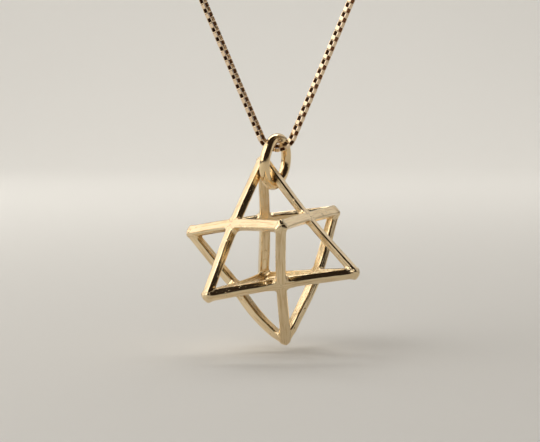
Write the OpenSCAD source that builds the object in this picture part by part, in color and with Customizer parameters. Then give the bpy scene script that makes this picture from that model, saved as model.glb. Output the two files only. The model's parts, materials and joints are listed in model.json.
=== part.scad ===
// Star of David pendant. A star tetrahedron of flat bars hangs by its top corner on
// a round bail ring, and the bail ring hangs in the bend of a closed box chain.
// Millimetres. X is to the right, Y away from the viewer, Z up. The origin is the
// point at the top of the loop where the clasp rests on the back of the neck.

/* [Star] */
// Tip to opposite tip, over the blunted tips
star_span = 22.3; // [16:0.1:40]
// Width of the bars, across their outer faces
bar_w = 1.15; // [0.8:0.05:2]
// Depth of the bars, from the outer face inwards
bar_t = 0.95; // [0.5:0.05:1.4]
// Leg of the bevel along the four edges of each bar
edge_bevel = 0.2; // [0.05:0.05:0.35]
// Height filed off each of the eight tips
tip_blunt = 0.3; // [0.1:0.05:0.6]
// Leg of the bevel filed along the edges of each tip
tip_bevel = 0.5; // [0:0.05:0.9]
// Radius of the solder fillets where two bars cross
fillet_r = 0.5; // [0.1:0.05:0.9]
// Turn of the star about the vertical
star_turn = 8; // [-20:0.5:20]
// Lean of the top tip towards the left
star_lean = 7.5; // [0:0.5:12]
// Lean of the top tip away from the viewer
star_back = 1.5; // [-3:0.5:5]
// Distance from the top tip, along the bar that hangs, to the wire of the bail ring
seat_from_tip = 3.65; // [2.6:0.05:5]

/* [Bail ring] */
// Diameter of the hole in the bail ring
bail_hole_d = 4.2; // [3.4:0.1:8]
// Diameter of the wire of the bail ring
bail_wire_d = 1.15; // [0.6:0.05:1.4]
// Turn of the bail ring about the vertical, from the plane of the chain
bail_turn = 63; // [40:1:90]
// Lean of the top of the bail ring towards the right
bail_lean = 6.5; // [0:0.5:10]

/* [Chain] */
// Length of the whole loop along its middle line, with the clasp
chain_length = 450; // [380:5:700]
// Width of a face of the square box chain
chain_w = 0.7; // [0.5:0.05:1.2]
// Angle between each straight arm of the chain and the vertical
arm_angle = 23; // [12:1:32]
// Radius of the bend that carries the bail ring, to the middle of the chain
bend_r = 1.95; // [1.5:0.05:4]

/* [Clasp] */
// Length of the barrel clasp
clasp_len = 10; // [8:0.5:14]
// Diameter of the barrel clasp
clasp_d = 2.4; // [2:0.1:4]
// Depth of the socket at each end of the clasp
socket_depth = 2.5; // [1.5:0.1:3]

/* [Clearances] */
// Gap between the bail ring and the chain, and between the bail ring and the star
hang_gap = 0.12; // [0.03:0.01:0.2]
// Gap between the chain and the walls and floor of its sockets
socket_gap = 0.06; // [0.03:0.01:0.15]

/* [Hidden] */

curve_fn = 96;

// Chain profile: a square on its corner, with each corner cut to two points
chain_half = chain_w / sqrt(2);
corner_cut = chain_w * 0.08;
chain_reach = chain_half - corner_cut;
chain_profile = [
    for (q = [0 : 3], s = [-1, 1])
        [chain_reach * cos(90 * q) - s * corner_cut * sin(90 * q),
         chain_reach * sin(90 * q) + s * corner_cut * cos(90 * q)]
];

// Loop of the chain: the clasp lies level at the top, two round shoulders run on
// from it, and two straight arms meet the small bend that carries the bail ring
cot_arm = cos(arm_angle) / sin(arm_angle);
top_sweep = 90 + arm_angle;
bend_sweep = 90 - arm_angle;
radian = PI / 180;
shoulder_r = (chain_length - clasp_len * (1 + 1 / sin(arm_angle))
    - 2 * bend_r * (bend_sweep * radian - cot_arm)) / (2 * (top_sweep * radian + cot_arm));
chain_top_z = clasp_d / 2;
shoulder_x = clasp_len / 2;
shoulder_z = chain_top_z - shoulder_r;
bend_z = shoulder_z - (shoulder_r - bend_r + shoulder_x * cos(arm_angle)) / sin(arm_angle);

// Rings of the chain along each stretch
shoulder_steps = 24;
arm_steps = 6;
bend_steps = 16;
socket_in = socket_depth - socket_gap;

// A point of the route is [x, z, direction], with the direction turning clockwise from +X
function on_arc(x, z, r, turn) = [x + r * sin(turn), z + r * cos(turn), turn];
arm_top = on_arc(shoulder_x, shoulder_z, shoulder_r, top_sweep);
arm_foot = on_arc(0, bend_z, bend_r, top_sweep);
half_route = concat(
    [[shoulder_x - socket_in, chain_top_z, 0]],
    [for (i = [0 : shoulder_steps]) on_arc(shoulder_x, shoulder_z, shoulder_r, top_sweep * i / shoulder_steps)],
    [for (i = [1 : arm_steps]) arm_top + (arm_foot - arm_top) * i / arm_steps],
    [for (i = [1 : bend_steps / 2]) on_arc(0, bend_z, bend_r, top_sweep + bend_sweep * i / (bend_steps / 2))]
);
half_count = len(half_route);
route = concat(
    half_route,
    [for (i = [half_count - 2 : -1 : 0]) [-half_route[i][0], half_route[i][1], 360 - half_route[i][2]]]
);

// The lowest point of the chain's middle line, which the bail ring swings about
bail_pivot = [0, 0, bend_z - bend_r];

// Bail ring: its centre lies below the pivot, along its own lean
bail_r = (bail_hole_d + bail_wire_d) / 2;
bail_above = chain_reach + hang_gap + bail_wire_d / 2;
bail_drop = bail_r - bail_above;

// Star: half the side of the cube whose corners are the eight tips before they are blunted
cube_half = (star_span / 2 + tip_blunt) / sqrt(3);
bar_len = 2 * sqrt(2) * cube_half;
// The wire of the bail ring passes square under the inner face of the hanging bar, and
// curves up by the sag at both edges of that face
seat_along = cube_half - seat_from_tip / sqrt(2);
seat_sag = bail_hole_d / 2 - sqrt(pow(bail_hole_d / 2, 2) - pow(bar_w / 2 - edge_bevel, 2));
seat_in = cube_half - bar_t - seat_sag - hang_gap - bail_wire_d / 2;
diagonal_tilt = atan(sqrt(2));

// Moves what is drawn round the pivot to the bail ring's own centre line
module at_bail() {
    translate(bail_pivot)
        rotate([0, bail_lean, 0])
            translate([0, 0, -bail_drop])
                children();
}

// A bar's section, w wide and t deep from the inner face up, with a bevel of leg b on each edge
function bevelled(w, t, b) = [
    [b - w / 2, 0], [w / 2 - b, 0], [w / 2, b], [w / 2, t - b],
    [w / 2 - b, t], [b - w / 2, t], [-w / 2, t - b], [-w / 2, b]
];

// One bar along X, with its inner face on the XY plane
module flat_bar() {
    rotate([90, 0, 90])
        linear_extrude(height = bar_len, center = true)
            polygon(bevelled(bar_w, bar_t, edge_bevel));
}

// Two bars that cross at right angles in one face of the cube, with filleted corners
module crossed_bars() {
    rotate(45) {
        flat_bar();
        rotate(90)
            flat_bar();
        for (q = [0 : 3])
            rotate(90 * q)
                translate([bar_w / 2, bar_w / 2, edge_bevel])
                    linear_extrude(height = bar_t - 2 * edge_bevel)
                        difference() {
                            translate([-edge_bevel, -edge_bevel])
                                square(fillet_r + edge_bevel);
                            translate([fillet_r, fillet_r])
                                circle(r = fillet_r, $fn = curve_fn);
                        }
    }
}

// The frame in the axes of its cube, centred, with the hanging corner at +X +Y +Z
module cube_frame() {
    bevel_side = sqrt(2) * (2 * cube_half - tip_bevel);
    intersection() {
        cube(2 * cube_half, center = true);
        for (axis = [[0, 0, 0], [90, 0, 0], [0, 90, 0]])
            rotate(axis)
                rotate([0, 0, 45])
                    cube([bevel_side, bevel_side, 4 * cube_half], center = true);
        sphere(d = star_span, $fn = curve_fn);
        union()
            for (turn = [[0, 0, 0], [180, 0, 0], [90, 0, 0], [-90, 0, 0], [0, 90, 0], [0, -90, 0]])
                rotate(turn)
                    translate([0, 0, cube_half - bar_t])
                        crossed_bars();
    }
}

module star_frame() {
    color("gold")
        at_bail()
            translate([0, 0, -bail_r])
                rotate([0, -bail_lean - star_lean, 0])
                    rotate([-star_back, 0, 0])
                        rotate([0, 0, star_turn - 90])
                            rotate([0, -diagonal_tilt, 0])
                                rotate([0, 0, -45])
                                    translate([-seat_along, -seat_in, -seat_along])
                                        cube_frame();
}

module bail_ring() {
    color("gold")
        at_bail()
            rotate([90, 0, bail_turn])
                rotate_extrude($fn = curve_fn)
                    translate([bail_r, 0])
                        circle(d = bail_wire_d, $fn = curve_fn);
}

// The chain as a bar of its own square outline, swept along the route
module chain() {
    sides = len(chain_profile);
    rings = len(route);
    points = [
        for (p = route, c = chain_profile)
            [p[0] + c[0] * sin(p[2]), c[1], p[1] + c[0] * cos(p[2])]
    ];
    walls = [
        for (i = [0 : rings - 2], j = [0 : sides - 1])
            [i * sides + j, i * sides + (j + 1) % sides, (i + 1) * sides + (j + 1) % sides, (i + 1) * sides + j]
    ];
    ends = [
        [for (j = [sides - 1 : -1 : 0]) j],
        [for (j = [0 : sides - 1]) (rings - 1) * sides + j]
    ];
    color("goldenrod")
        polyhedron(points, concat(walls, ends), convexity = 6);
}

// A plain barrel with domed ends and a socket for each end of the chain
module clasp() {
    socket_d = 2 * (chain_half + socket_gap);
    color("gold")
        translate([0, 0, chain_top_z])
            rotate([0, 90, 0])
                difference() {
                    intersection() {
                        cylinder(d = clasp_d, h = clasp_len, center = true, $fn = curve_fn);
                        sphere(d = clasp_len, $fn = curve_fn);
                    }
                    for (end = [0, 180])
                        rotate([end, 0, 0])
                            translate([0, 0, clasp_len / 2 - socket_depth])
                                cylinder(d = socket_d, h = socket_depth + 1, $fn = curve_fn);
                }
}

star_frame();
bail_ring();
chain();
clasp();
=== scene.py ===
import json

import bpy
import numpy as np
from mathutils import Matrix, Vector


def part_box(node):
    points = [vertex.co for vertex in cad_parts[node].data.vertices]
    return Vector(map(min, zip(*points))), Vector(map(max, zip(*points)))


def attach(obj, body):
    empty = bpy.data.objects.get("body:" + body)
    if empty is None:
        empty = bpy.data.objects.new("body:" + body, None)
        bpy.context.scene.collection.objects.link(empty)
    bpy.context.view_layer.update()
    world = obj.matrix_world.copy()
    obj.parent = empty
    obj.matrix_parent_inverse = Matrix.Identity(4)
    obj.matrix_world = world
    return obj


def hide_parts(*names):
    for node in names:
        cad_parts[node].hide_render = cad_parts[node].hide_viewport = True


# The CAD frame comes first. Everything below is worked out in millimetres in its axes:
# X to the right, Y away from the viewer, Z up, and turned to metres when it is put in a mesh.
mm = 0.001
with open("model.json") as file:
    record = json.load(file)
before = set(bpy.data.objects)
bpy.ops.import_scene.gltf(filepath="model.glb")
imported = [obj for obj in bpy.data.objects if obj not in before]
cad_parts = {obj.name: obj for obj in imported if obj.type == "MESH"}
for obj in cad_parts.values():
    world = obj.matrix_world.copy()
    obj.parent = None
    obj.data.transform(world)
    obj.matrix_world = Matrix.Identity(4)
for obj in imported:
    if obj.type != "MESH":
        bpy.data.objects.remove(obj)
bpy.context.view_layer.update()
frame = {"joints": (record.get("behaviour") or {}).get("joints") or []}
joints = {joint["name"]: joint for joint in frame["joints"]}
bailPivot = np.array(joints["bail_swing"]["pos_m"]) / mm
starHang = np.array(joints["star_swing"]["pos_m"]) / mm
print("frame loaded, bail pivot", bailPivot.round(3), "star hangs at", starHang.round(3))


# Small shared helpers

def turnAbout(axis, degrees):
    # Rotation matrix about X (0), Y (1) or Z (2)
    angle = np.radians(degrees)
    first, second = [(1, 2), (2, 0), (0, 1)][axis]
    matrix = np.eye(3)
    matrix[first, first] = matrix[second, second] = np.cos(angle)
    matrix[second, first] = np.sin(angle)
    matrix[first, second] = -np.sin(angle)
    return matrix


def newPiece(name, points, faces, smooth=True):
    # One mesh object at the origin, from points in mm and faces with four corners each
    mesh = bpy.data.meshes.new(name)
    mesh.vertices.add(len(points))
    mesh.vertices.foreach_set("co", (points * mm).astype(np.float32).ravel())
    mesh.loops.add(faces.size)
    mesh.loops.foreach_set("vertex_index", faces.astype(np.int32).ravel())
    mesh.polygons.add(len(faces))
    mesh.polygons.foreach_set("loop_start", np.arange(0, faces.size, faces.shape[1], dtype=np.int32))
    mesh.polygons.foreach_set("use_smooth", np.full(len(faces), smooth))
    mesh.update(calc_edges=True)
    mesh.validate()
    piece = bpy.data.objects.new(name, mesh)
    bpy.context.scene.collection.objects.link(piece)
    return piece


def gridFaces(rows, columns, closeRows, closeColumns):
    # Faces of a grid of rows x columns points, joined round on itself where it is closed
    row = np.arange(rows if closeRows else rows - 1)[:, None]
    column = np.arange(columns if closeColumns else columns - 1)[None, :]
    nextRow = (row + 1) % rows
    nextColumn = (column + 1) % columns
    corners = [row * columns + column, row * columns + nextColumn,
               nextRow * columns + nextColumn, nextRow * columns + column]
    return np.stack(np.broadcast_arrays(*corners), axis=-1).reshape(-1, 4)


def toLinear(hexColour):
    # sRGB hex to the linear colour that Blender's sockets take
    values = np.array([int(hexColour[i:i + 2], 16) / 255 for i in (1, 3, 5)])
    linear = np.where(values <= 0.04045, values / 12.92, ((values + 0.055) / 1.055) ** 2.4)
    return (*linear, 1.0)


def addNode(material, kind, settings, links=()):
    # One shader node, its settings, and its links as (output socket, own input name)
    node = material.node_tree.nodes.new(kind)
    for name, value in settings.items():
        if name in node.inputs:
            node.inputs[name].default_value = value
        else:
            setattr(node, name, value)
    for source, target in links:
        material.node_tree.links.new(source, node.inputs[target])
    return node


# Materials

# Colours as sRGB hex, and lengths in millimetres. A wave is a slow waver in the polish, the
# grain is that of the buffing marks, and a pit is a small pore of the casting.
golds = {
    "star": {"colour": "#F6E0B8", "roughness": 0.15, "waveSpacing": 1.8, "waveDepth": 0.024,
             "grain": 0.09, "pitDepth": 0.03},
    "wire": {"colour": "#F3D8AA", "roughness": 0.13, "waveSpacing": 2.2, "waveDepth": 0.03,
             "grain": 0.08, "pitDepth": 0.01},
    "chain": {"colour": "#F6DDBC", "roughness": 0.2, "waveSpacing": 1.5, "waveDepth": 0.0,
              "grain": 0.1, "pitDepth": 0.0},
    "clasp": {"colour": "#F6E0B8", "roughness": 0.14, "waveSpacing": 3.0, "waveDepth": 0.02,
              "grain": 0.1, "pitDepth": 0.0},
}
finish = {
    "pitSpacing": 0.55,
    "pitFrom": 0.68,  # height of the noise at which a pit begins, and where it is at its deepest
    "pitFull": 0.76,
    "bloomFrom": 0.35,  # height of the noise at which the polish is sharpest, and dullest
    "bloomFull": 0.7,
    "sharpest": 0.75,  # shares of the roughness
    "dullest": 1.5,
    "grainShare": 0.15,  # depth of the buffing marks, as a share of the wave's
    "markDepth": 0.035,  # file marks on the star
    "markFrom": 0.48,
    "markFull": 0.68,
    "markColour": "#DFC397",
    "insideShadeColour": "#4A2E1A",  # painted shade on the inner faces of the links, dark where the links shade each other
}


def polishedGold(name, gold):
    # 14 carat yellow gold, soldered and polished on a buff: a mirror that wavers along each
    # bar, with a bloom of fine buffing marks and a few small pits
    material = bpy.data.materials.new(name)
    material.use_nodes = True
    shader = material.node_tree.nodes["Principled BSDF"]
    shader.inputs["Base Color"].default_value = toLinear(gold["colour"])
    shader.inputs["Metallic"].default_value = 1.0
    place = addNode(material, "ShaderNodeTexCoord", {})
    spot = (place.outputs["Object"], "Vector")
    wave = addNode(material, "ShaderNodeTexNoise",
                   {"Scale": 1 / (gold["waveSpacing"] * mm), "Detail": 2.0}, [spot])
    marks = addNode(material, "ShaderNodeTexNoise",
                    {"Scale": 1 / (gold["grain"] * mm), "Detail": 3.0}, [spot])
    pits = addNode(material, "ShaderNodeTexNoise",
                   {"Scale": 1 / (finish["pitSpacing"] * mm), "Detail": 1.0}, [spot])
    bloom = addNode(material, "ShaderNodeMapRange",
                    {"From Min": finish["bloomFrom"], "From Max": finish["bloomFull"],
                     "To Min": gold["roughness"] * finish["sharpest"],
                     "To Max": gold["roughness"] * finish["dullest"]},
                    [(marks.outputs["Fac"], "Value")])
    deep = addNode(material, "ShaderNodeMapRange",
                   {"From Min": finish["pitFrom"], "From Max": finish["pitFull"]},
                   [(pits.outputs["Fac"], "Value")])
    broad = addNode(material, "ShaderNodeBump", {"Strength": 1.0, "Distance": gold["waveDepth"] * mm},
                    [(wave.outputs["Fac"], "Height")])
    fine = addNode(material, "ShaderNodeBump",
                   {"Strength": 1.0, "Distance": gold["waveDepth"] * finish["grainShare"] * mm},
                   [(marks.outputs["Fac"], "Height"), (broad.outputs["Normal"], "Normal")])
    pitted = addNode(material, "ShaderNodeBump",
                     {"Strength": 1.0, "Distance": gold["pitDepth"] * mm, "invert": True},
                     [(deep.outputs["Result"], "Height"), (fine.outputs["Normal"], "Normal")])
    material.node_tree.links.new(bloom.outputs["Result"], shader.inputs["Roughness"])
    material.node_tree.links.new(pitted.outputs["Normal"], shader.inputs["Normal"])
    return material


def mixColour(material, share, hexColour):
    # Turns the base colour to another one where the share is high
    shader = material.node_tree.nodes["Principled BSDF"]
    mixed = addNode(material, "ShaderNodeMix", {"data_type": "RGBA"})
    mixed.inputs["A"].default_value = shader.inputs["Base Color"].default_value
    mixed.inputs["B"].default_value = toLinear(hexColour)
    material.node_tree.links.new(share, mixed.inputs["Factor"])
    material.node_tree.links.new(mixed.outputs["Result"], shader.inputs["Base Color"])


def addFileMarks(material):
    # Fine grooves along each bar, on top of the polish, that hold a little dark polishing paste
    shader = material.node_tree.nodes["Principled BSDF"]
    polish = shader.inputs["Normal"].links[0].from_socket
    streaks = addNode(material, "ShaderNodeAttribute", {"attribute_name": "streaks"})
    filed = addNode(material, "ShaderNodeTexNoise", {"Scale": 1.0, "Detail": 2.0},
                    [(streaks.outputs["Vector"], "Vector")])
    grooves = addNode(material, "ShaderNodeBump",
                      {"Strength": 1.0, "Distance": finish["markDepth"] * mm},
                      [(filed.outputs["Fac"], "Height"), (polish, "Normal")])
    held = addNode(material, "ShaderNodeMapRange",
                   {"From Min": finish["markFrom"], "From Max": finish["markFull"]},
                   [(filed.outputs["Fac"], "Value")])
    material.node_tree.links.new(grooves.outputs["Normal"], shader.inputs["Normal"])
    mixColour(material, held.outputs["Result"], finish["markColour"])


def paintShadeInside(material):
    # Painted shade: the inner faces of the links are turned dark brown, for the shade that falls inside
    # and between the links
    inside = addNode(material, "ShaderNodeAttribute", {"attribute_name": "inside"})
    mixColour(material, inside.outputs["Fac"], finish["insideShadeColour"])


# Star: twelve flat bars in the faces of a cube

star = {
    "span": 22.3,  # tip to opposite tip
    "barWidth": 1.15,
    "barDepth": 0.95,
    "edgeBevel": 0.2,  # of the bars that the ring was seated under
    "tipBlunt": 0.3,  # filed off each tip
    "turn": 8.0,
    "lean": 7.5,
    "back": 1.5,
    "seatFromTip": 3.65,  # down the hanging bar to the ring's wire
    "hangGap": 0.12,
    "edgeRound": 0.18,  # polished edges of the bars
    "crossFillet": 0.5,  # solder in the corners of a crossing
    "tipFillet": 0.35,  # solder between the bars inside a tip
    "tipRound": 0.4,
    "cell": 0.112,  # spacing of the points on the surface
    # Degrees that a bar is turned about its own line, away from its ends and its crossing
    "barTurn": {"lowLeft lowRight": -22.0, "top lowLeft": -6.0, "bottom rightBack": -7.0,
                "left bottom": 8.0, "front bottom": 8.0},
    "turnFade": 1.2,  # length over which the turn comes in
    "turnStop": 0.3,  # how far short of a tip the turn ends
    "turnInset": 0.26,  # how far a turned bar sinks in, for each radian
    # How far a bar bows out, to the right and up, halfway from its crossing to the second tip
    "barBow": {"left bottom": (-0.33, -0.28)},
    "bowReach": 1.6,  # from a bar's middle line to where its bow ends
    "bowFade": 0.85,  # length over which the bow ends
    "tipPinch": {"bottom": 0.4},  # how much narrower a tip is filed at its point
    "pinchLength": 1.5,
    "settleRounds": 6,
    "markLength": 2.5,  # of the file marks, which run along each bar
    "markWidth": 0.15,
    # How far each tip of the hand-soldered star lies off a true cube, to the right and up
    "tipShift": {
        "top": (0.0, 0.0),
        "bottom": (-0.14, 0.13),
        "left": (-0.26, -0.32),
        "front": (-0.31, -0.47),
        "rightBack": (-0.31, -0.27),
        "lowLeft": (-0.31, -0.24),
        "lowRight": (-0.64, 0.0),
        "back": (-0.61, -0.12),
    },
    # How far each crossing lies off the middle of its four tips, by the two tips it lies between
    "crossingShift": {
        "top lowLeft": (-0.12, 0.33),
        "top lowRight": (-0.23, -0.12),
        "top back": (0.16, 0.13),
        "lowLeft lowRight": (-0.2, 0.15),
        "lowLeft back": (-0.02, -0.22),
        "lowRight back": (0.9, 0.09),
    },
}
# The ring's sizes stand here because the star hangs on its wire
ring = {
    "hole": 4.2,
    "wire": 1.15,
    "turn": 63.0,
    "lean": 6.5,
    "seamAngle": 20.0,  # from the top of the ring, towards the back right
    "seamWidth": 0.2,
    "seamDepth": 0.08,
    "seamSwell": 0.4,  # rise beside the seam, as a share of its depth
    "around": 144,
    "across": 32,
}
# The eight corners of the cube that the tips stand in
tips = {"top": (1, 1, 1), "bottom": (-1, -1, -1), "left": (1, -1, 1), "front": (1, 1, -1),
        "rightBack": (-1, 1, 1), "lowLeft": (1, -1, -1), "lowRight": (-1, 1, -1), "back": (-1, -1, 1)}
tips = {name: np.array(corner) for name, corner in tips.items()}
# The turned bars, each by the axis and the side of its face, and by which diagonal it is
barTurns = {}
for names, degrees in star["barTurn"].items():
    start, end = [tips[name] for name in names.split()]
    axis = int(np.argmax(np.abs(start + end)))
    slant = int(start[(axis + 1) % 3] * start[(axis + 2) % 3])
    barTurns[axis, int(start[axis]), slant] = np.radians(degrees)
cubeHalf = (star["span"] / 2 + star["tipBlunt"]) / np.sqrt(3)
starTurn = (turnAbout(1, -star["lean"]) @ turnAbout(0, -star["back"]) @ turnAbout(2, star["turn"] - 90)
            @ turnAbout(1, -np.degrees(np.arctan(np.sqrt(2)))) @ turnAbout(2, -45))
holeRadius = ring["hole"] / 2
wireSag = holeRadius - np.sqrt(holeRadius ** 2 - (star["barWidth"] / 2 - star["edgeBevel"]) ** 2)
seatAlong = cubeHalf - star["seatFromTip"] / np.sqrt(2)
seatIn = cubeHalf - star["barDepth"] - wireSag - star["hangGap"] - ring["wire"] / 2
starCentre = starHang - starTurn @ np.array([seatAlong, seatIn, seatAlong])


def roundJoin(first, second, radius):
    # Distance to two shapes together, with a fillet of that radius between them
    gap = np.maximum(radius - first, 0) ** 2 + np.maximum(radius - second, 0) ** 2
    return np.maximum(radius, np.minimum(first, second)) - np.sqrt(gap)


def roundMeet(first, second, radius):
    # Distance to what two shapes share, with a rounded edge of that radius
    over = np.maximum(radius + first, 0) ** 2 + np.maximum(radius + second, 0) ** 2
    return np.minimum(-radius, np.maximum(first, second)) + np.sqrt(over)


def starField(points):
    # Zero on the star's skin and negative inside. Each face of the cube holds two crossed
    # strips with filleted corners, as deep as a bar. The six crosses are joined with solder
    # fillets, and the whole is cut to a cube with rounded edges and to a ball.
    depth, halfWidth = star["barDepth"], star["barWidth"] / 2
    joined = None
    for axis in range(3):
        across, along = points[:, (axis + 1) % 3], points[:, (axis + 2) % 3]
        for side in (-1, 1):
            off = [(across + along) / np.sqrt(2), (across - along) / np.sqrt(2)]
            inwards = cubeHalf - side * points[:, axis] - depth / 2
            for bar, slant in enumerate((-1, 1)):
                if (axis, side, slant) not in barTurns:
                    continue
                run = np.abs(off[1 - bar])
                toStop = cubeHalf * np.sqrt(2) - star["turnStop"] - run
                fade = (np.clip((run - halfWidth) / star["turnFade"], 0, 1)
                        * np.clip(toStop / star["turnFade"], 0, 1))
                turn = barTurns[axis, side, slant] * fade
                sunk = inwards - star["turnInset"] * np.abs(turn)
                off[bar], inwards = (off[bar] * np.cos(turn) + sunk * np.sin(turn),
                                     sunk * np.cos(turn) - off[bar] * np.sin(turn))
            cross = roundJoin(np.abs(off[0]) - halfWidth, np.abs(off[1]) - halfWidth,
                              star["crossFillet"])
            plate = roundMeet(cross, np.abs(inwards) - depth / 2, star["edgeRound"])
            joined = plate if joined is None else roundJoin(joined, plate, star["tipFillet"])
    beyond = np.abs(points) - cubeHalf + star["tipRound"]
    outside = np.linalg.norm(np.maximum(beyond, 0), axis=1)
    cube = outside + np.minimum(beyond.max(axis=1), 0) - star["tipRound"]
    ball = np.linalg.norm(points, axis=1) - star["span"] / 2
    return roundMeet(roundMeet(joined, cube, star["edgeRound"]), ball, star["tipRound"])


def slopeOf(field, points):
    # Gradient by small steps either way along each axis
    step = 0.01
    return np.stack([(field(points + step * unit) - field(points - step * unit)) / (2 * step)
                     for unit in np.eye(3)], axis=1)


def skinOf(field, reach, cell):
    # Surface where the field is zero. Every cell of a cubic grid that the surface passes
    # through gets one point, the mean of the places where it cuts the cell's edges. The
    # four cells round each cut edge make a face.
    count = int(np.ceil(2 * reach / cell)) + 1
    line = (np.arange(count) - (count - 1) / 2) * cell
    corners = np.stack(np.meshgrid(line, line, line, indexing="ij"), axis=-1).reshape(-1, 3)
    values = field(corners).reshape(count, count, count)
    corners = corners.reshape(count, count, count, 3)
    total = np.zeros((count - 1, count - 1, count - 1, 3))
    cuts = np.zeros((count - 1, count - 1, count - 1))
    edges = []
    for axis in range(3):
        low = np.take(values, np.arange(count - 1), axis=axis)
        high = np.take(values, np.arange(1, count), axis=axis)
        cut = (low < 0) != (high < 0)
        share = np.where(cut, low / np.where(cut, low - high, 1), 0)
        place = (np.take(corners, np.arange(count - 1), axis=axis)
                 + share[..., None] * cell * np.eye(3)[axis])
        place = np.where(cut[..., None], place, 0)
        others = [other for other in range(3) if other != axis]
        for shift in ((0, 0), (0, 1), (1, 0), (1, 1)):
            part = [slice(None)] * 3
            for other, start in zip(others, shift):
                part[other] = slice(start, count - 1 + start)
            total += place[tuple(part)]
            cuts += cut[tuple(part)]
        edges.append((np.argwhere(cut), low[cut] < 0, others))
    used = cuts > 0
    number = np.full(used.shape, -1)
    number[used] = np.arange(used.sum())
    points = total[used] / cuts[used][:, None]
    faces = []
    for axis, (edge, inside, others) in enumerate(edges):
        first, second = np.eye(3, dtype=int)[others[0]], np.eye(3, dtype=int)[others[1]]
        ringOfCells = [edge - first - second, edge - second, edge, edge - first]
        quad = np.stack([number[tuple(cell.T)] for cell in ringOfCells], axis=1)
        turned = inside if axis != 1 else ~inside
        faces.append(np.where(turned[:, None], quad, quad[:, ::-1]))
    return points, np.concatenate(faces)


def settle(field, points, faces, rounds):
    # Evens the points out over the surface, and puts each one back on it. The last two
    # rounds only put them back, and a slope close to none is held up so that no step is wild.
    pairs = np.concatenate([faces[:, [0, 1]], faces[:, [1, 2]], faces[:, [2, 3]], faces[:, [3, 0]]])
    near = np.bincount(pairs.ravel(), minlength=len(points))
    for i in range(rounds):
        if i < rounds - 2:
            pull = np.stack([np.bincount(pairs[:, 0], points[pairs[:, 1], k], len(points))
                             + np.bincount(pairs[:, 1], points[pairs[:, 0], k], len(points))
                             for k in range(3)], axis=1)
            points = points + 0.5 * (pull / near[:, None] - points)
        for j in range(2):
            slope = slopeOf(field, points)
            steepness = np.maximum((slope ** 2).sum(axis=1), 0.05)
            points = points - slope * (field(points) / steepness)[:, None]
    return points


def shiftAt(points):
    # Each of the cube's corners carries its own shift, and a point between takes its share of
    # the eight, as the product of how near it is along each axis. A crossing's shift fades
    # from the middle of its face to the face's edges and to the face opposite. A bow is half
    # a sine wave from a bar's crossing to its tip. A pinch draws a tip in towards its own line.
    near = np.clip(points / cubeHalf, -1, 1)
    moved = np.zeros((len(points), 2))
    for name, shift in star["tipShift"].items():
        weight = np.prod((1 + near * tips[name]) / 2, axis=1)
        moved += weight[:, None] * np.array(shift)
    for names, shift in star["crossingShift"].items():
        face = sum(tips[name] for name in names.split()) // 2
        within = np.prod(np.where(face == 0, 1 - near ** 2, 1), axis=1)
        weight = within * (1 + near @ face) / 2
        moved += weight[:, None] * np.array(shift)
    for names, bow in star["barBow"].items():
        start, end = [tips[name] for name in names.split()]
        slope = (end - start) / np.linalg.norm(end - start)
        fromCrossing = points - (start + end) / 2 * (cubeHalf - star["barDepth"] / 2)
        run = fromCrossing @ slope
        aside = np.linalg.norm(fromCrossing - run[:, None] * slope, axis=1)
        weight = (np.sin(np.pi * np.clip(run / cubeHalf / np.sqrt(2), 0, 1))
                  * np.clip((star["bowReach"] - aside) / star["bowFade"], 0, 1))
        moved += weight[:, None] * np.array(bow)
    pinched = np.zeros((len(points), 3))
    for name, pinch in star["tipPinch"].items():
        toTip = tips[name] / np.sqrt(3)
        reach = points @ toTip
        weight = np.clip((reach - star["span"] / 2) / star["pinchLength"] + 1, 0, 1)
        pinched -= pinch * weight[:, None] * (points - reach[:, None] * toTip)
    level = np.stack([moved[:, 0], np.zeros(len(points)), moved[:, 1]], axis=1)
    return level + pinched @ starTurn.T


def streaksAt(points):
    # Where each point lies on the bar nearest to it: along the bar, across it and inwards, in
    # lengths and widths of a file mark, and moved on from one bar to the next
    nearest = np.full(len(points), np.inf)
    streaks = np.zeros((len(points), 3))
    bars = [(axis, side, slant) for axis in range(3) for side in (-1, 1) for slant in (-1, 1)]
    apart = 20  # far enough in the noise that no two bars share their marks
    for count, (axis, side, slant) in enumerate(bars):
        across, along = points[:, (axis + 1) % 3], points[:, (axis + 2) % 3]
        run = (across + slant * along) / np.sqrt(2) / star["markLength"]
        off = (across - slant * along) / np.sqrt(2) / star["markWidth"]
        inwards = (cubeHalf - side * points[:, axis]) / star["markWidth"]
        aside = np.hypot(off, inwards - star["barDepth"] / 2 / star["markWidth"])
        own = aside < nearest
        nearest[own] = aside[own]
        streaks[own] = np.stack([run, off, inwards], axis=1)[own] + apart * count
    return streaks


def makeStar(material):
    points, faces = skinOf(starField, cubeHalf + 3 * star["cell"], star["cell"])
    points = settle(starField, points, faces, star["settleRounds"])
    placed = points @ starTurn.T + starCentre + shiftAt(points)
    piece = newPiece("star", placed, faces)
    streaks = piece.data.attributes.new("streaks", "FLOAT_VECTOR", "POINT")
    streaks.data.foreach_set("vector", streaksAt(points).ravel())
    piece.data.materials.append(material)
    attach(piece, "star")
    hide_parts("star_frame")
    print("star made,", len(faces), "faces")
    return piece


# Bail ring: round wire, bent and soldered

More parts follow.
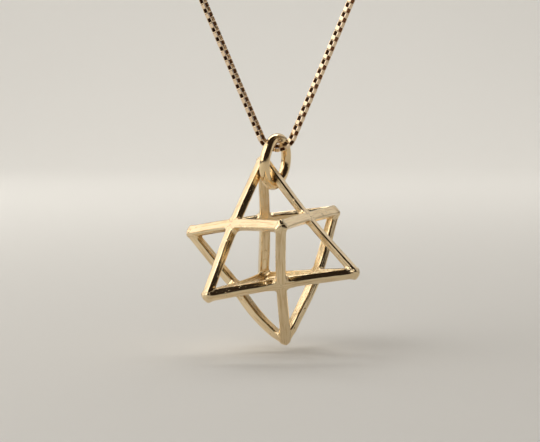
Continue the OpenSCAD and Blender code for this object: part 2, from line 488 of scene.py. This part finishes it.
def makeRing(material):
    # A circle of wire carried round a circle: angle a goes round the ring from its top, and
    # angle b round the wire. The wire dips to a hairline at the solder seam and swells
    # beside it, each as a bell curve, and the angles are close together there.
    radius = (ring["hole"] + ring["wire"]) / 2
    seam = np.radians(ring["seamAngle"])
    nearSeam = np.radians(np.array([-5, -3.5, -2.5, -1.5, -0.7, 0, 0.7, 1.5, 2.5, 3.5, 5]))
    rest = np.linspace(nearSeam[-1], 2 * np.pi + nearSeam[0], ring["around"] + 1)[1:-1]
    a = (seam + np.concatenate([nearSeam, rest]))[:, None]
    b = np.linspace(0, 2 * np.pi, ring["across"], endpoint=False)[None, :]
    away = (np.mod(a - seam + np.pi, 2 * np.pi) - np.pi) * radius
    dip = ring["seamDepth"] * np.exp(-(away / ring["seamWidth"] * 2) ** 2)
    swell = ring["seamSwell"] * ring["seamDepth"] * np.exp(-(away / ring["seamWidth"] / 3) ** 2)
    wire = ring["wire"] / 2 - dip + swell
    out = radius + wire * np.cos(b)
    local = np.stack(np.broadcast_arrays(out * np.sin(a), wire * np.sin(b), out * np.cos(a)), axis=-1)
    lean = turnAbout(1, ring["lean"])
    centre = starHang + lean @ np.array([0, 0, radius])
    placed = local.reshape(-1, 3) @ (lean @ turnAbout(2, ring["turn"])).T + centre
    piece = newPiece("bail_ring_wire", placed, gridFaces(len(a), ring["across"], True, True)[:, ::-1])
    piece.data.materials.append(material)
    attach(piece, "bail")
    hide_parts("bail_ring")
    print("bail ring made")
    return piece


# Chain: square links, each turned a quarter from the next

chain = {
    "length": 450.0,  # the whole loop, with the clasp
    "width": 0.7,
    "stripWidth": 0.515,
    "stripThick": 0.08,
    "cornerRound": 0.22,
    "leastRound": 0.04,  # of the inner corners
    "pitch": 0.58,
    "slack": 0.012,  # how loosely one link sits in the next
    "armAngle": 23.0,
    "bendRadius": 1.95,
}
clasp = {
    "length": 10.0,
    "width": 2.4,
    "socketDepth": 2.5,
    "socketGap": 0.06,
    "around": 64,
}


def chainRoute(distance):
    # Half of the loop, by the distance from the middle of the clasp: level to the shoulder,
    # round the shoulder's arc, down the straight arm, and round the small bend to the bottom.
    # Gives the place as x and z, and the direction, turning clockwise from +X.
    arm = np.radians(chain["armAngle"])
    bend, level = chain["bendRadius"], clasp["length"] / 2
    slope = np.cos(arm) / np.sin(arm)
    straight = clasp["length"] * (1 + 1 / np.sin(arm))
    shoulder = ((chain["length"] - straight - 2 * bend * (np.pi / 2 - arm - slope))
                / (2 * (np.pi / 2 + arm + slope)))
    topZ = clasp["width"] / 2
    bendZ = bailPivot[2] + bend
    shoulderZ = topZ - shoulder
    armStart = np.array([level + shoulder * np.cos(arm), shoulderZ - shoulder * np.sin(arm)])
    armEnd = np.array([bend * np.cos(arm), bendZ - bend * np.sin(arm)])
    armLength = np.linalg.norm(armEnd - armStart)
    afterLevel = distance - level
    afterShoulder = afterLevel - shoulder * (np.pi / 2 + arm)
    afterArm = afterShoulder - armLength
    turned = np.clip(afterLevel / shoulder, 0, np.pi / 2 + arm)
    direction = np.where(afterArm > 0, np.pi / 2 + arm + afterArm / bend, turned)
    x = np.where(afterLevel < 0, distance, level + shoulder * np.sin(turned))
    z = np.where(afterLevel < 0, topZ, shoulderZ + shoulder * np.cos(turned))
    share = np.clip(afterShoulder / armLength, 0, 1)
    x = np.where(afterShoulder > 0, armStart[0] + share * (armEnd - armStart)[0], x)
    z = np.where(afterShoulder > 0, armStart[1] + share * (armEnd - armStart)[1], z)
    x = np.where(afterArm > 0, bend * np.sin(direction), x)
    z = np.where(afterArm > 0, bendZ + bend * np.cos(direction), z)
    return x, z, direction


def makeChain(material):
    # One link is a strip bent round a rectangle with rounded corners. It is carried to every
    # place along the route, on its corner, and every other one gets a quarter turn.
    start = clasp["length"] / 2 - clasp["socketDepth"] + clasp["socketGap"] + chain["pitch"]
    count = 2 * int(round((chain["length"] / 2 - start) / chain["pitch"])) + 1
    side = np.linspace(-1, 1, count)
    distance = chain["length"] / 2 - np.abs(side) * (chain["length"] / 2 - start)
    pitch = (chain["length"] / 2 - start) * 2 / (count - 1)
    x, z, direction = chainRoute(distance)
    x = np.where(side > 0, -x, x)
    direction = np.where(side > 0, 2 * np.pi - direction, direction)
    middle = np.stack([x, np.zeros(count), z], axis=1)
    along = np.stack([np.cos(direction), np.zeros(count), -np.sin(direction)], axis=1)
    outward = np.stack([np.sin(direction), np.zeros(count), np.cos(direction)], axis=1)
    back = np.broadcast_to([0.0, 1.0, 0.0], outward.shape)
    quarter = np.where(np.arange(count) % 2 == 0, 1.0, -1.0)[:, None]
    across = (outward + quarter * back) / np.sqrt(2)
    flat = np.cross(along, across)

    halfLength = pitch / 2 + chain["stripThick"] + chain["slack"] / 2
    halfWidth = chain["width"] / 2
    bendSteps = np.radians([0, 30, 60, 90])
    cornerTurn = np.concatenate([bendSteps + corner for corner in np.radians([0, 90, 180, 270])])
    cornerX = np.repeat([1, -1, -1, 1], 4)
    cornerY = np.repeat([1, 1, -1, -1], 4)
    loops = []
    for inset, edge in ((0, -1), (0, 1), (chain["stripThick"], 1), (chain["stripThick"], -1)):
        corner = max(chain["cornerRound"] - inset, chain["leastRound"])
        px = cornerX * (halfLength - inset - corner) + corner * np.cos(cornerTurn)
        py = cornerY * (halfWidth - inset - corner) + corner * np.sin(cornerTurn)
        loops.append(np.stack([px, py, np.full(16, edge * chain["stripWidth"] / 2)], axis=1))
    link = np.stack(loops, axis=1).reshape(-1, 3)
    points = (middle[:, None] + link[None, :, 0:1] * along[:, None]
              + link[None, :, 1:2] * across[:, None] + link[None, :, 2:3] * flat[:, None])
    linkFaces = gridFaces(16, 4, True, True)[:, ::-1]
    faces = (linkFaces[None] + np.arange(count)[:, None, None] * len(link)).reshape(-1, 4)
    piece = newPiece("chain_links", points.reshape(-1, 3), faces, smooth=False)
    # The inner face of each link, which gets the painted shade
    inside = np.tile(np.arange(len(linkFaces)) % 4 == 2, count).astype(np.float32)
    piece.data.attributes.new("inside", "FLOAT", "FACE").data.foreach_set("value", inside)
    piece.data.materials.append(material)
    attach(piece, "necklace")
    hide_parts("chain")
    print("chain made,", count, "links,", len(faces), "faces")
    return piece


# Clasp: a plain barrel

def makeClasp(material):
    # A profile of distance along the barrel and radius, turned round the barrel's line. It
    # runs from the floor of one socket, out over the barrel, and to the floor of the other.
    halfLength, radius = clasp["length"] / 2, clasp["width"] / 2
    socket = chain["width"] / np.sqrt(2) + clasp["socketGap"]
    floor = halfLength - clasp["socketDepth"]
    dome = np.arcsin(np.linspace(socket, radius, 8) / halfLength)
    rightHalf = np.concatenate([
        np.array([[0, radius], [floor, radius]]),
        np.stack([halfLength * np.cos(dome[::-1]), halfLength * np.sin(dome[::-1])], axis=1),
        np.array([[floor, socket]]),
    ])
    leftHalf = rightHalf[:0:-1] * np.array([-1, 1])
    profile = np.concatenate([leftHalf, rightHalf])
    turn = np.linspace(0, 2 * np.pi, clasp["around"], endpoint=False)[None, :]
    px, pr = profile[:, 0:1], profile[:, 1:2]
    local = np.stack(np.broadcast_arrays(px, pr * np.cos(turn), pr * np.sin(turn)), axis=-1)
    placed = local.reshape(-1, 3) + np.array([0, 0, radius])
    # The flat floor of each socket, in strips from one side of its circle to the other
    step = np.arange(clasp["around"] // 2 - 1)
    disc = np.stack([step, clasp["around"] - 1 - step, clasp["around"] - 2 - step, step + 1], axis=1)
    farDisc = disc[:, ::-1] + len(placed) - clasp["around"]
    faces = np.concatenate([gridFaces(len(profile), clasp["around"], False, True), disc, farDisc])
    piece = newPiece("clasp_barrel", placed, faces)
    piece.data.materials.append(material)
    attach(piece, "necklace")
    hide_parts("clasp")
    print("clasp made")
    return piece


# Floor, light and camera

studio = {
    "floorBelow": 0.4,  # under the lowest tip
    "floorColour": "#E6E5E2",
    "floorFront": 1500.0,  # in front of the star
    "wallFrom": 500.0,  # behind the star, where the floor starts to curve up
    "wallBend": 300.0,
    "wallTop": 1500.0,
    "halfWidth": 1800.0,
    "worldColour": "#2A221C",
    "photoWidth": 540,
    "photoHeight": 442,
    "starAt": (275.4, 250.7),  # where the star's middle stands in the photograph
    "pixelsPerMm": 8.745,  # at the star
    "distance": 200.0,
    "lookDown": 4.0,
    "sensor": 36.0,
}
# Soft boxes: degrees to the right of the viewer, degrees up, distance, width and height,
# brightness, colour, and how far behind the star each is aimed
lights = {
    "key_left": (-68, 36, 600, (640, 700), 2.0, "#FFFBF4", 0),
    "panel_left_back": (-123, 25, 420, (330, 300), 1.15, "#FFFDF6", 0),
    "panel_right_back": (146, 26, 600, (260, 260), 0.35, "#FFF9F0", 0),
    "strip_right": (107, 15, 420, (220, 230), 0.6, "#FFF9F0", 0),
    "rim_behind": (180, 50, 1100, (1100, 310), 4.0, "#FFFBF4", 0),
    "wash_on_backdrop": (180, 50, 500, (900, 300), 1.1, "#FFFDF8", 800),
}


def makeFloor():
    # A floor that runs level to the back and curves up into a wall
    low = min(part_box("star_frame")[0][2] / mm, bailPivot[2]) - studio["floorBelow"]
    bend = np.linspace(0, np.pi / 2, 25)
    start, radius = studio["wallFrom"], studio["wallBend"]
    outlineY = np.concatenate([[-studio["floorFront"]], start + radius * np.sin(bend), [start + radius]])
    outlineZ = np.concatenate([[0], radius * (1 - np.cos(bend)), [studio["wallTop"]]])
    across = np.array([-studio["halfWidth"], studio["halfWidth"]])
    x, y = np.broadcast_arrays(across[None, :], outlineY[:, None])
    z = np.broadcast_to(outlineZ[:, None] + low, x.shape)
    points = np.stack([x, y, z], axis=-1).reshape(-1, 3)
    floor = newPiece("floor", points, gridFaces(len(outlineY), 2, False, False))
    material = bpy.data.materials.new("pale_paper")
    material.use_nodes = True
    shader = material.node_tree.nodes["Principled BSDF"]
    shader.inputs["Base Color"].default_value = toLinear(studio["floorColour"])
    shader.inputs["Roughness"].default_value = 0.9
    floor.data.materials.append(material)
    return floor


def makeLight(name, turn, height, distance, size, radiance, colour, behind):
    # A soft box, placed from the star by its turn, from the viewer's side towards the right,
    # and its height as an angle. Its power follows from how bright its face is.
    lamp = bpy.data.lights.new(name, "AREA")
    lamp.shape = "RECTANGLE"
    lamp.size, lamp.size_y = size[0] * mm, size[1] * mm
    lamp.energy = radiance * np.pi * lamp.size * lamp.size_y
    lamp.color = toLinear(colour)[:3]
    holder = bpy.data.objects.new(name, lamp)
    bpy.context.scene.collection.objects.link(holder)
    level, side = np.radians(height), np.radians(turn)
    away = np.array([np.sin(side) * np.cos(level), -np.cos(side) * np.cos(level), np.sin(level)])
    aim = starCentre + np.array([0, behind, 0])
    place = starCentre + away * distance
    holder.location = place * mm
    holder.rotation_euler = Vector(aim - place).to_track_quat("-Z", "Y").to_euler()
    holder.visible_camera = False
    return holder


def makeCamera():
    # Stands so that the star's middle falls where it does in the photograph
    pitch = turnAbout(0, -studio["lookDown"])
    right = (studio["starAt"][0] - studio["photoWidth"] / 2) / studio["pixelsPerMm"]
    up = (studio["photoHeight"] / 2 - studio["starAt"][1]) / studio["pixelsPerMm"]
    place = starCentre - pitch @ np.array([right, studio["distance"], up])
    view = bpy.data.cameras.new("camera")
    view.sensor_width = studio["sensor"]
    view.lens = studio["sensor"] * studio["pixelsPerMm"] * studio["distance"] / studio["photoWidth"]
    view.clip_start = 0.01
    view.clip_end = 10.0
    holder = bpy.data.objects.new("camera", view)
    bpy.context.scene.collection.objects.link(holder)
    holder.location = place * mm
    holder.rotation_euler = (np.radians(90 - studio["lookDown"]), 0, 0)
    bpy.context.scene.camera = holder
    return holder


def makeWorld():
    # A dim warm room, which the metal mirrors where no soft box does
    world = bpy.data.worlds.new("dim_room")
    world.use_nodes = True
    world.node_tree.nodes["Background"].inputs["Color"].default_value = toLinear(studio["worldColour"])
    world.node_tree.nodes["Background"].inputs["Strength"].default_value = 1.0
    bpy.context.scene.world = world
    bpy.context.scene.view_settings.view_transform = "Standard"


starGold = polishedGold("polished_gold_star", golds["star"])
addFileMarks(starGold)
wireGold = polishedGold("polished_gold_wire", golds["wire"])
chainGold = polishedGold("polished_gold_chain", golds["chain"])
# The chain's inner link faces get a painted dark brown shade
paintShadeInside(chainGold)
claspGold = polishedGold("polished_gold_clasp", golds["clasp"])
makeStar(starGold)
makeRing(wireGold)
makeChain(chainGold)
makeClasp(claspGold)
makeFloor()
for name, values in lights.items():
    makeLight(name, *values)
makeWorld()
makeCamera()
print("stage made")
